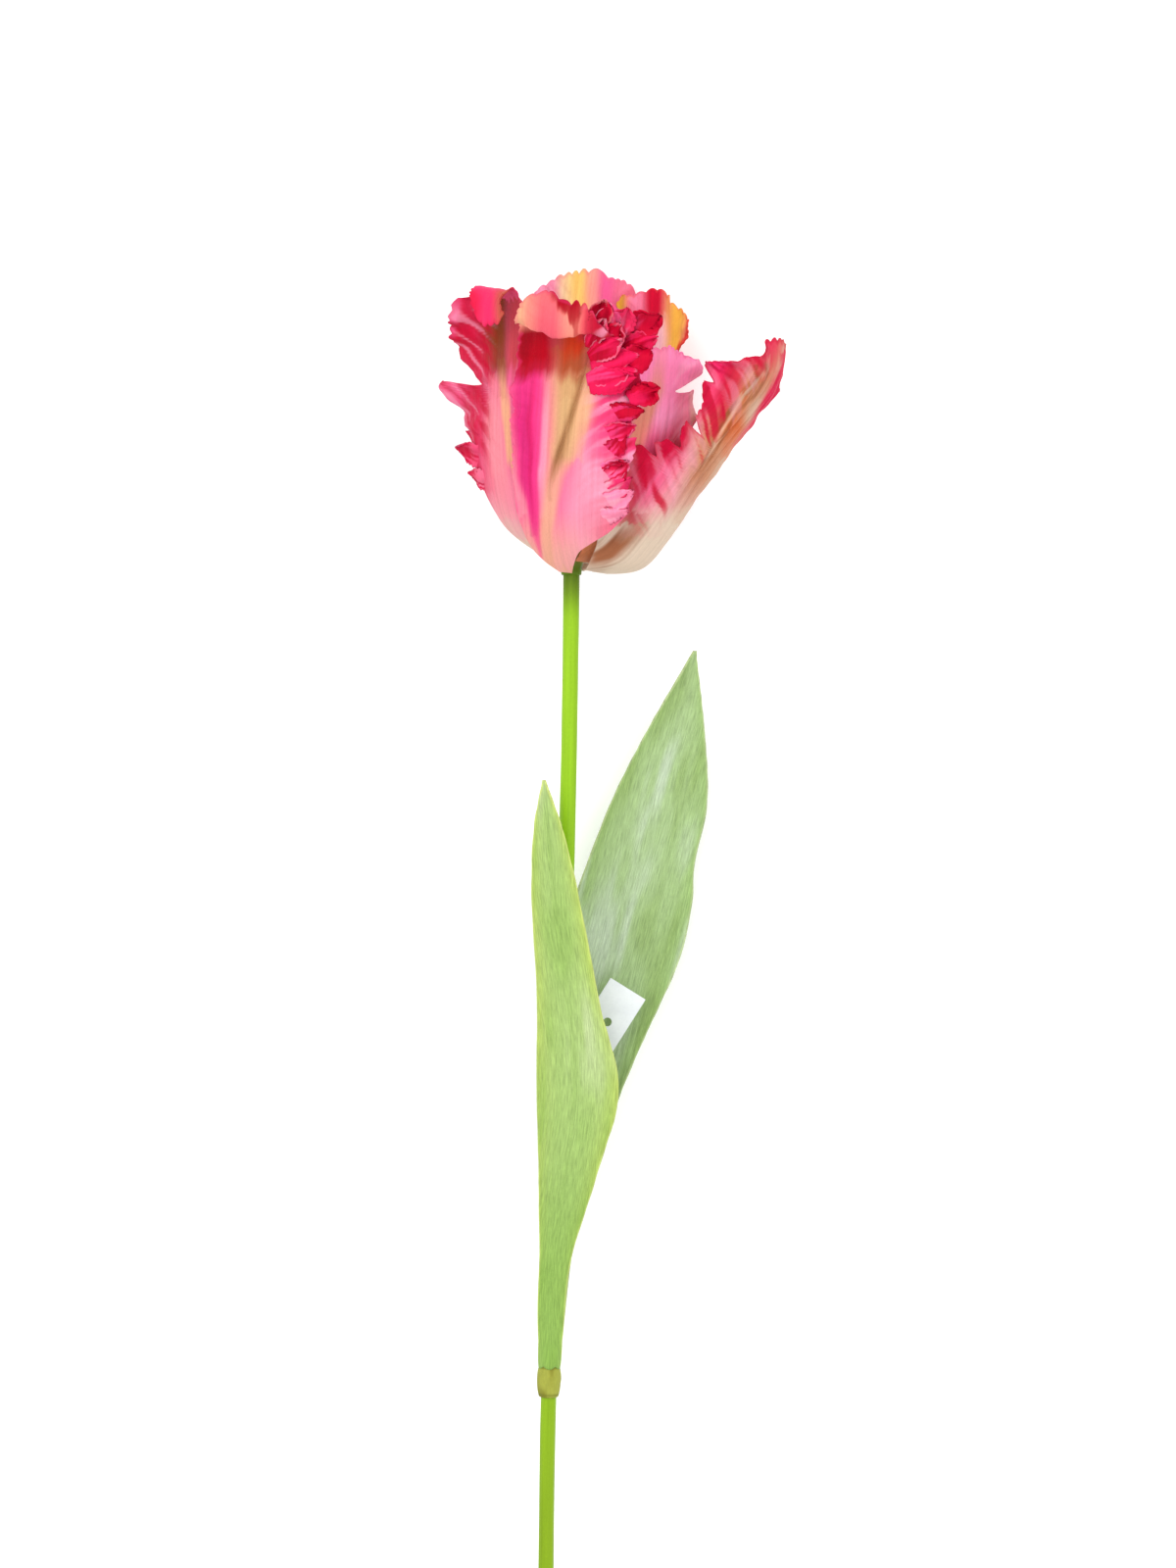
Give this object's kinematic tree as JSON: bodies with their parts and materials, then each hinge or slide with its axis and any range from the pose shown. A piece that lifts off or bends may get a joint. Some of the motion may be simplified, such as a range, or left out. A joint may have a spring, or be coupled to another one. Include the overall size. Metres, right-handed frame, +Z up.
{
  "type": "artificial cut tulip",
  "caption": "Artificial parrot tulip lying on its side: feathered petals in a cup, one petal open, a long stem, leaves on a collar and a card tag looped round the stem.",
  "frame": {"origin": "middle of the underside of the bounding box, on the surface that the flower lies on", "axes": "+Y along the stem towards the flower, +X to the side of the open petal, +Z up from the surface"},
  "size_m": [0.1052, 0.5, 0.0822],
  "materials": {
    "stem": "satin green, faint lengthwise ribs",
    "boss": "satin moulded",
    "pistil": "satin moulded",
    "stamen": "dull, powdery",
    "collar": "dull olive moulding",
    "leaf": "printed matt fabric with fine lengthwise streaks",
    "petal": "printed satin fabric, cream base, magenta, crimson and beige flames",
    "card": "plain white card"
  },
  "bodies": {
    "root": {"stem": "stem", "receptacle": "boss", "pistil": "pistil", "stamen_1": "stamen", "stamen_2": "stamen", "stamen_3": "stamen", "stamen_4": "stamen", "stamen_5": "stamen", "stamen_6": "stamen", "leaf_collar": "collar", "leaf_front": "leaf", "leaf_back": "leaf", "price_tag": "card", "petal_front": "petal", "petal_open": "petal", "petal_under": "petal", "petal_left": "petal", "petal_right": "petal", "petal_back": "petal"}
  },
  "joints": []
}
